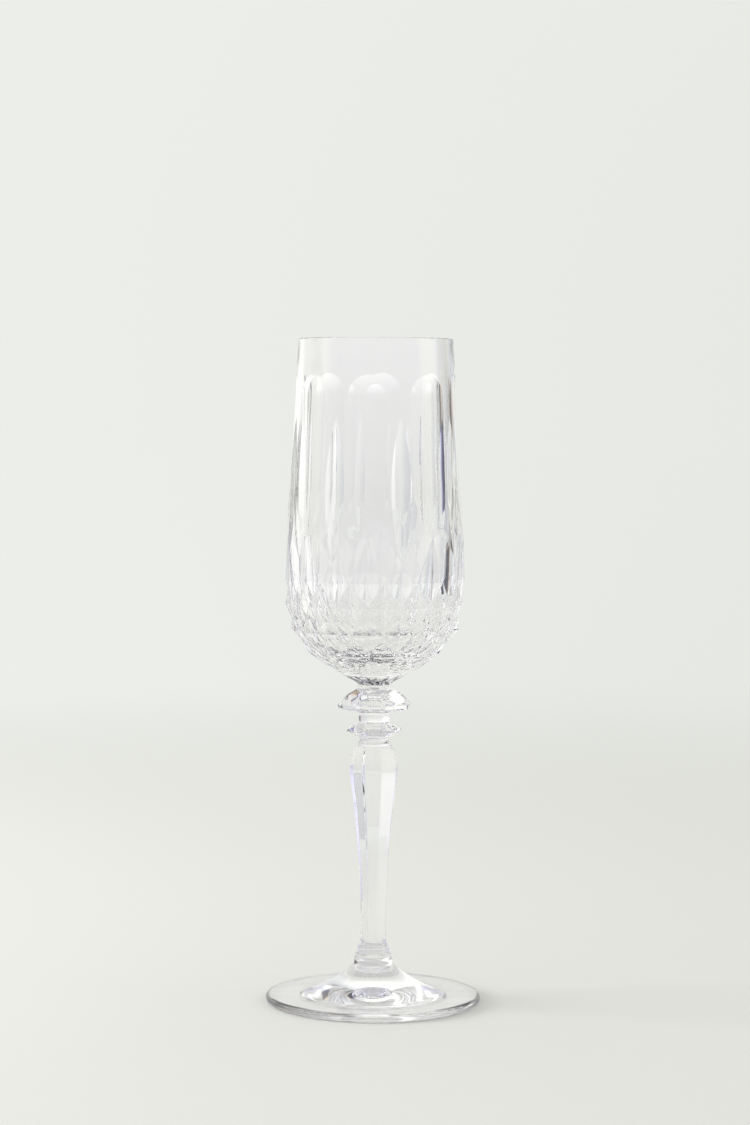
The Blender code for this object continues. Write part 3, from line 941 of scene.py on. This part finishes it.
def buildFloor():
    mesh = bmesh.new()
    bmesh.ops.create_circle(mesh, cap_ends=True, segments=96, radius=stage["floorRadius"])
    bmesh.ops.translate(mesh, verts=mesh.verts, vec=(0.0, 0.0, -stage["floorDrop"]))
    material, tree, shader = newMaterial("studio paper")
    place = tree.nodes.new("ShaderNodeTexCoord")
    grain = tree.nodes.new("ShaderNodeTexNoise")
    grain.inputs["Scale"].default_value = stage["grain"]
    tree.links.new(place.outputs["Object"], grain.inputs["Vector"])
    length = tree.nodes.new("ShaderNodeVectorMath")
    length.operation = "LENGTH"
    tree.links.new(place.outputs["Object"], length.inputs[0])
    fade = tree.nodes.new("ShaderNodeMapRange")        # the paper fades into the room behind
    fade.interpolation_type = "SMOOTHSTEP"
    fade.inputs["From Min"].default_value = stage["fadeStart"]
    fade.inputs["From Max"].default_value = stage["fadeEnd"]
    tree.links.new(length.outputs["Value"], fade.inputs["Value"])

    paper = tree.nodes.new("ShaderNodeMix")
    paper.data_type = "RGBA"
    paper.inputs["A"].default_value = (*(channel * stage["grainShade"] for channel in stage["paper"]), 1.0)
    paper.inputs["B"].default_value = (*stage["paper"], 1.0)
    tree.links.new(grain.outputs["Fac"], paper.inputs["Factor"])
    near = tree.nodes.new("ShaderNodeMix")
    near.data_type = "RGBA"
    near.inputs["B"].default_value = (0.0, 0.0, 0.0, 1.0)
    tree.links.new(fade.outputs["Result"], near.inputs["Factor"])
    tree.links.new(paper.outputs["Result"], near.inputs["A"])
    tree.links.new(near.outputs["Result"], shader.inputs["Base Color"])

    heading = tree.nodes.new("ShaderNodeVectorMath")
    heading.operation = "NORMALIZE"
    tree.links.new(place.outputs["Object"], heading.inputs[0])
    room = backdropColour(tree, heading.outputs["Vector"])
    far = tree.nodes.new("ShaderNodeMix")
    far.data_type = "RGBA"
    far.inputs["A"].default_value = (0.0, 0.0, 0.0, 1.0)
    tree.links.new(fade.outputs["Result"], far.inputs["Factor"])
    tree.links.new(room, far.inputs["B"])
    # stands in for the light that the foot lets through to the paper
    under = tree.nodes.new("ShaderNodeMapRange")
    under.interpolation_type = "SMOOTHSTEP"
    under.inputs["From Min"].default_value = stage["glowInner"]
    under.inputs["From Max"].default_value = stage["glowOuter"]
    under.inputs["To Min"].default_value = 1.0
    under.inputs["To Max"].default_value = 0.0
    tree.links.new(length.outputs["Value"], under.inputs["Value"])
    glow = tree.nodes.new("ShaderNodeMix")
    glow.data_type = "RGBA"
    glow.inputs["B"].default_value = (*stage["glow"], 1.0)
    tree.links.new(under.outputs["Result"], glow.inputs["Factor"])
    tree.links.new(far.outputs["Result"], glow.inputs["A"])
    tree.links.new(glow.outputs["Result"], shader.inputs["Emission Color"])
    shader.inputs["Emission Strength"].default_value = 1.0
    shader.inputs["Roughness"].default_value = 1.0
    shader.inputs["Specular IOR Level"].default_value = 0.0
    return stageObject("studioFloor", mesh, material)


def buildLight(name, place):
    light = bpy.data.lights.new(name, "AREA")
    light.shape = "RECTANGLE"
    light.size = place["width"]
    light.size_y = place["height"]
    light.energy = place["power"]
    light.color = place["colour"]
    item = bpy.data.objects.new(name, light)
    centre = around(place["azimuth"], place["distance"], place["bottom"] + place["height"] / 2)
    if name == "top":
        centre.z = place["bottom"]
    item.location = centre
    aim = Vector((0.0, 0.0, centre.z if name != "top" else 0.0))
    item.rotation_euler = (aim - centre).to_track_quat("-Z", "Y").to_euler()
    item.visible_camera = False
    item.visible_glossy = False
    item.visible_transmission = False
    scene.collection.objects.link(item)
    return item


def onlyGlow(shader):
    shader.inputs["Emission Strength"].default_value = cards["strength"]
    shader.inputs["Base Color"].default_value = (0.0, 0.0, 0.0, 1.0)
    shader.inputs["Roughness"].default_value = 1.0
    shader.inputs["Specular IOR Level"].default_value = 0.0


def hideFromCamera(item):
    item.active_material.cycles.emission_sampling = "NONE"
    item.visible_camera = False
    item.visible_shadow = False
    item.visible_diffuse = False


def buildCards():
    mesh = bmesh.new()
    low = mesh.verts.new((cards["radius"], 0.0, 0.0))
    high = mesh.verts.new((cards["radius"], 0.0, cards["height"]))
    side = mesh.edges.new((low, high))
    bmesh.ops.spin(
        mesh, geom=[low, high, side], cent=(0, 0, 0), axis=(0, 0, 1),
        angle=math.tau, steps=turnSteps, use_merge=True,
    )
    bmesh.ops.recalc_face_normals(mesh, faces=mesh.faces)
    bmesh.ops.reverse_faces(mesh, faces=mesh.faces)
    material, tree, shader = newMaterial("ring of cards")
    place = tree.nodes.new("ShaderNodeTexCoord")
    reach = []
    for direction in (
        (math.cos(cameraTurn), math.sin(cameraTurn), 0.0),
        (-math.sin(cameraTurn), math.cos(cameraTurn), 0.0),
    ):
        part = tree.nodes.new("ShaderNodeVectorMath")
        part.operation = "DOT_PRODUCT"
        part.inputs[1].default_value = direction
        tree.links.new(place.outputs["Object"], part.inputs[0])
        reach.append(part.outputs["Value"])
    angle = tree.nodes.new("ShaderNodeMath")
    angle.operation = "ARCTAN2"
    tree.links.new(reach[0], angle.inputs[0])
    tree.links.new(reach[1], angle.inputs[1])
    share = tree.nodes.new("ShaderNodeMapRange")
    share.inputs["From Min"].default_value = -math.pi
    share.inputs["From Max"].default_value = math.pi
    tree.links.new(angle.outputs["Value"], share.inputs["Value"])
    ramp = tree.nodes.new("ShaderNodeValToRGB")
    stops = ramp.color_ramp.elements
    stops.remove(stops[1])
    for index, (azimuth, colour) in enumerate(cards["tones"]):
        stop = stops[0] if index == 0 else stops.new((azimuth + 180) / 360)
        stop.position = (azimuth + 180) / 360
        stop.color = (*colour, 1.0)
    tree.links.new(share.outputs["Result"], ramp.inputs["Fac"])
    split = tree.nodes.new("ShaderNodeSeparateXYZ")
    tree.links.new(place.outputs["Object"], split.inputs["Vector"])
    lift = tree.nodes.new("ShaderNodeMapRange")
    lift.interpolation_type = "SMOOTHSTEP"
    lift.inputs["From Min"].default_value = 0.0
    lift.inputs["From Max"].default_value = cards["liftHeight"]
    lift.inputs["To Min"].default_value = cards["liftLow"]
    lift.inputs["To Max"].default_value = cards["liftHigh"]
    tree.links.new(split.outputs["Z"], lift.inputs["Value"])
    lifted = tree.nodes.new("ShaderNodeVectorMath")
    lifted.operation = "SCALE"
    tree.links.new(ramp.outputs["Color"], lifted.inputs[0])
    tree.links.new(lift.outputs["Result"], lifted.inputs["Scale"])
    tree.links.new(lifted.outputs["Vector"], shader.inputs["Emission Color"])
    onlyGlow(shader)
    hideFromCamera(stageObject("ringOfCards", mesh, material))

    mesh = bmesh.new()
    bmesh.ops.create_circle(mesh, cap_ends=True, segments=turnSteps, radius=cards["radius"])
    bmesh.ops.translate(mesh, verts=mesh.verts, vec=(0.0, 0.0, cards["height"]))
    bmesh.ops.reverse_faces(mesh, faces=mesh.faces)
    material, tree, shader = newMaterial("roof card")
    shader.inputs["Emission Color"].default_value = (*cards["roof"], 1.0)
    onlyGlow(shader)
    hideFromCamera(stageObject("roofCard", mesh, material))


buildSky()
buildFloor()
for name, place in lights.items():
    buildLight(name, place)
buildCards()
print("studio ready")

camera = bpy.data.cameras.new("camera")
camera.lens = view["lens"]
camera.sensor_width = view["sensor"]
cameraObject = bpy.data.objects.new("camera", camera)
scene.collection.objects.link(cameraObject)
cameraObject.location = around(0.0, view["distance"], view["height"])
aim = Euler((math.radians(90 + view["pitch"]), 0.0, cameraTurn)).to_matrix()
roll = Matrix.Rotation(math.radians(view["roll"]), 3, "Z")
cameraObject.rotation_euler = (aim @ roll).to_euler()
scene.camera = cameraObject

scene.view_settings.view_transform = "Standard"
scene.view_settings.look = "None"
scene.cycles.max_bounces = 24
scene.cycles.transmission_bounces = 20
scene.cycles.glossy_bounces = 12
scene.cycles.transparent_max_bounces = 24
scene.cycles.diffuse_bounces = 3
